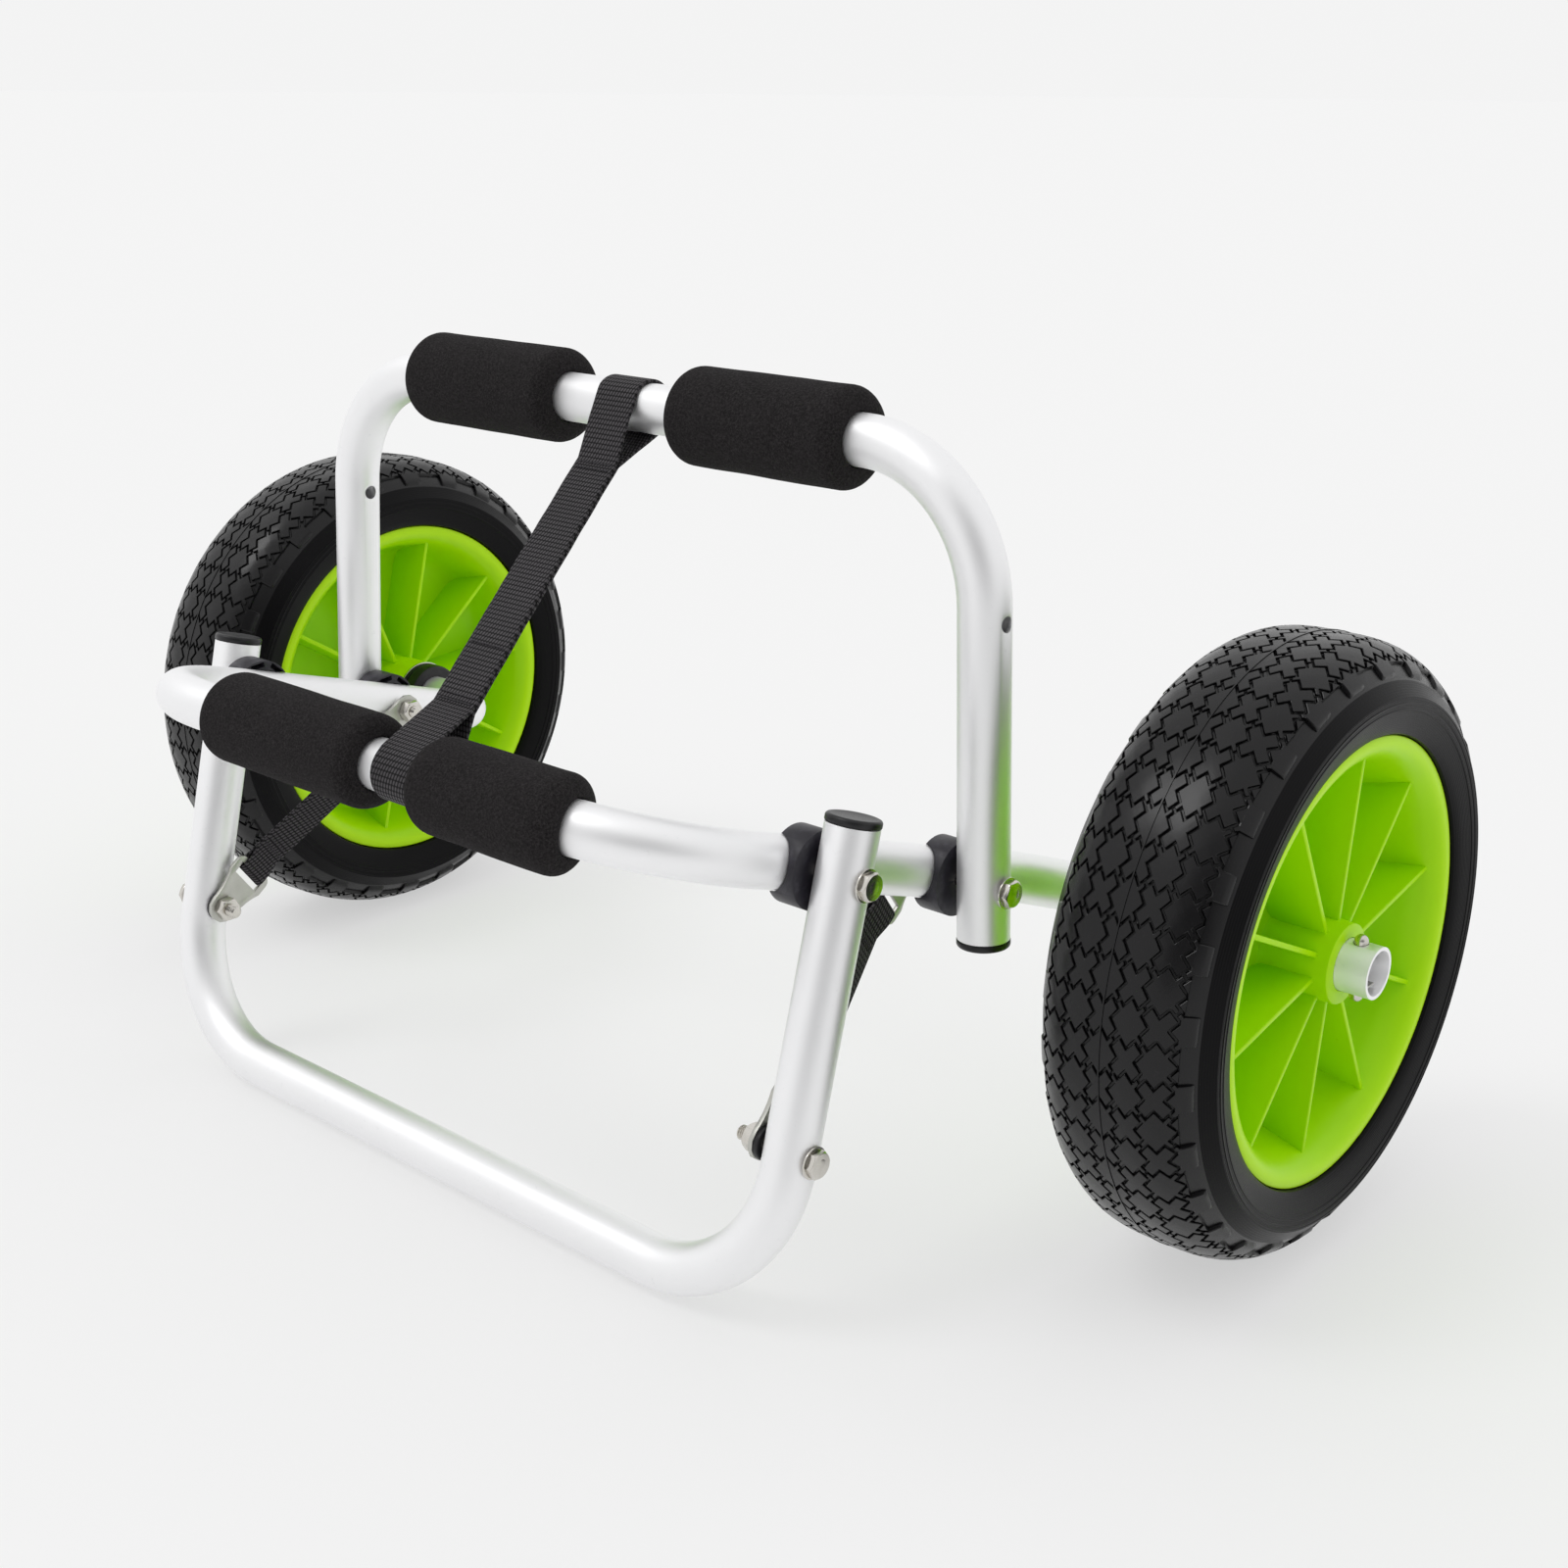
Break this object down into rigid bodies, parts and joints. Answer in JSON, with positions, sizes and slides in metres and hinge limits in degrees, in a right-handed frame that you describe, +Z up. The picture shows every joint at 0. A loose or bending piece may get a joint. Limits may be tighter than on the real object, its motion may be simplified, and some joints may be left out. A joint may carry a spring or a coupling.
{
  "type": "kayak cart",
  "caption": "Folding kayak cart: bent tube frame with an axle stub at each end, hinged upper frame and kickstand, ribbed wheels with block tread tyres, foam pads and webbing.",
  "frame": {"origin": "on the floor, under the middle of the whole cart", "axes": "+X along the wheel axle to the right wheel, +Y from the front bar back to the axle, +Z up"},
  "size_m": [0.6568, 0.3747, 0.3396],
  "materials": {
    "anodised_tube": "satin anodised",
    "foam": "matt closed-cell foam",
    "webbing": "woven, matt",
    "satin_steel": "satin",
    "polished_steel": "bright",
    "saddle_plastic": "moulded, matt",
    "black_plastic": "moulded, matt",
    "rim_plastic": "moulded, half gloss",
    "tyre": "moulded foam rubber, matt"
  },
  "bodies": {
    "main_frame": {"main_frame_tube": "anodised_tube", "left_front_pad": "foam", "right_front_pad": "foam", "main_strap": "webbing", "left_upper_saddle": "saddle_plastic", "left_kick_saddle": "saddle_plastic", "left_upper_pivot_bolt": "polished_steel", "left_upper_pivot_washer": "polished_steel", "left_upper_pivot_nut": "polished_steel", "left_kick_pivot_bolt": "polished_steel", "left_kick_pivot_washer": "polished_steel", "left_kick_pivot_nut": "polished_steel", "left_upper_strap_plate": "satin_steel", "left_limit_strap": "webbing", "left_stop_collar": "black_plastic", "left_hub_washer": "polished_steel", "left_button_spring": "satin_steel", "right_upper_saddle": "saddle_plastic", "right_kick_saddle": "saddle_plastic", "right_upper_pivot_bolt": "polished_steel", "right_upper_pivot_washer": "polished_steel", "right_upper_pivot_nut": "polished_steel", "right_kick_pivot_bolt": "polished_steel", "right_kick_pivot_washer": "polished_steel", "right_kick_pivot_nut": "polished_steel", "right_upper_strap_plate": "satin_steel", "right_limit_strap": "webbing", "right_stop_collar": "black_plastic", "right_hub_washer": "polished_steel", "right_button_spring": "satin_steel"},
    "upper_frame": {"upper_frame_tube": "anodised_tube", "left_top_pad": "foam", "right_top_pad": "foam", "left_upper_leg_cap": "black_plastic", "right_upper_leg_cap": "black_plastic"},
    "kickstand": {"kickstand_tube": "anodised_tube", "left_kick_leg_cap": "black_plastic", "left_lower_bolt": "polished_steel", "left_lower_washer": "polished_steel", "left_lower_spacer": "black_plastic", "left_lower_nut": "polished_steel", "left_lower_strap_plate": "satin_steel", "right_kick_leg_cap": "black_plastic", "right_lower_bolt": "polished_steel", "right_lower_washer": "polished_steel", "right_lower_spacer": "black_plastic", "right_lower_nut": "polished_steel", "right_lower_strap_plate": "satin_steel"},
    "left_wheel": {"left_rim": "rim_plastic", "left_tyre": "tyre"},
    "right_wheel": {"right_rim": "rim_plastic", "right_tyre": "tyre"},
    "left_button_above": {"left_upper_button": "polished_steel"},
    "left_button_below": {"left_lower_button": "polished_steel"},
    "right_button_above": {"right_upper_button": "polished_steel"},
    "right_button_below": {"right_lower_button": "polished_steel"}
  },
  "joints": [
    {"name": "upper_fold", "type": "hinge", "parent": "main_frame", "child": "upper_frame", "pos_m": [0, -0.0175, 0.15125], "axis": [1, 0, 0], "range_deg": [0, 47], "deforming": ["main_strap"]},
    {"name": "kick_fold", "type": "hinge", "parent": "main_frame", "child": "kickstand", "pos_m": [0, -0.0971, 0.17603], "axis": [1, 0, 0], "range_deg": [0, 61], "deforming": ["left_limit_strap", "right_limit_strap"]},
    {"name": "left_wheel_spin", "type": "hinge", "parent": "main_frame", "child": "left_wheel", "pos_m": [-0.283, 0.0604, 0.127], "axis": [1, 0, 0], "continuous": true},
    {"name": "right_wheel_spin", "type": "hinge", "parent": "main_frame", "child": "right_wheel", "pos_m": [0.283, 0.0604, 0.127], "axis": [1, 0, 0], "continuous": true},
    {"name": "left_above_press", "type": "slide", "parent": "main_frame", "child": "left_button_above", "axis": [0, 0, -1], "range_m": [0, 0.0038], "stiffness_N_per_m": 1500, "springref_m": -0.003, "deforming": ["left_button_spring"]},
    {"name": "left_below_press", "type": "slide", "parent": "main_frame", "child": "left_button_below", "axis": [0, 0, 1], "range_m": [0, 0.0038], "stiffness_N_per_m": 1500, "springref_m": -0.003, "deforming": ["left_button_spring"]},
    {"name": "right_above_press", "type": "slide", "parent": "main_frame", "child": "right_button_above", "axis": [0, 0, -1], "range_m": [0, 0.0038], "stiffness_N_per_m": 1500, "springref_m": -0.003, "deforming": ["right_button_spring"]},
    {"name": "right_below_press", "type": "slide", "parent": "main_frame", "child": "right_button_below", "axis": [0, 0, 1], "range_m": [0, 0.0038], "stiffness_N_per_m": 1500, "springref_m": -0.003, "deforming": ["right_button_spring"]}
  ]
}
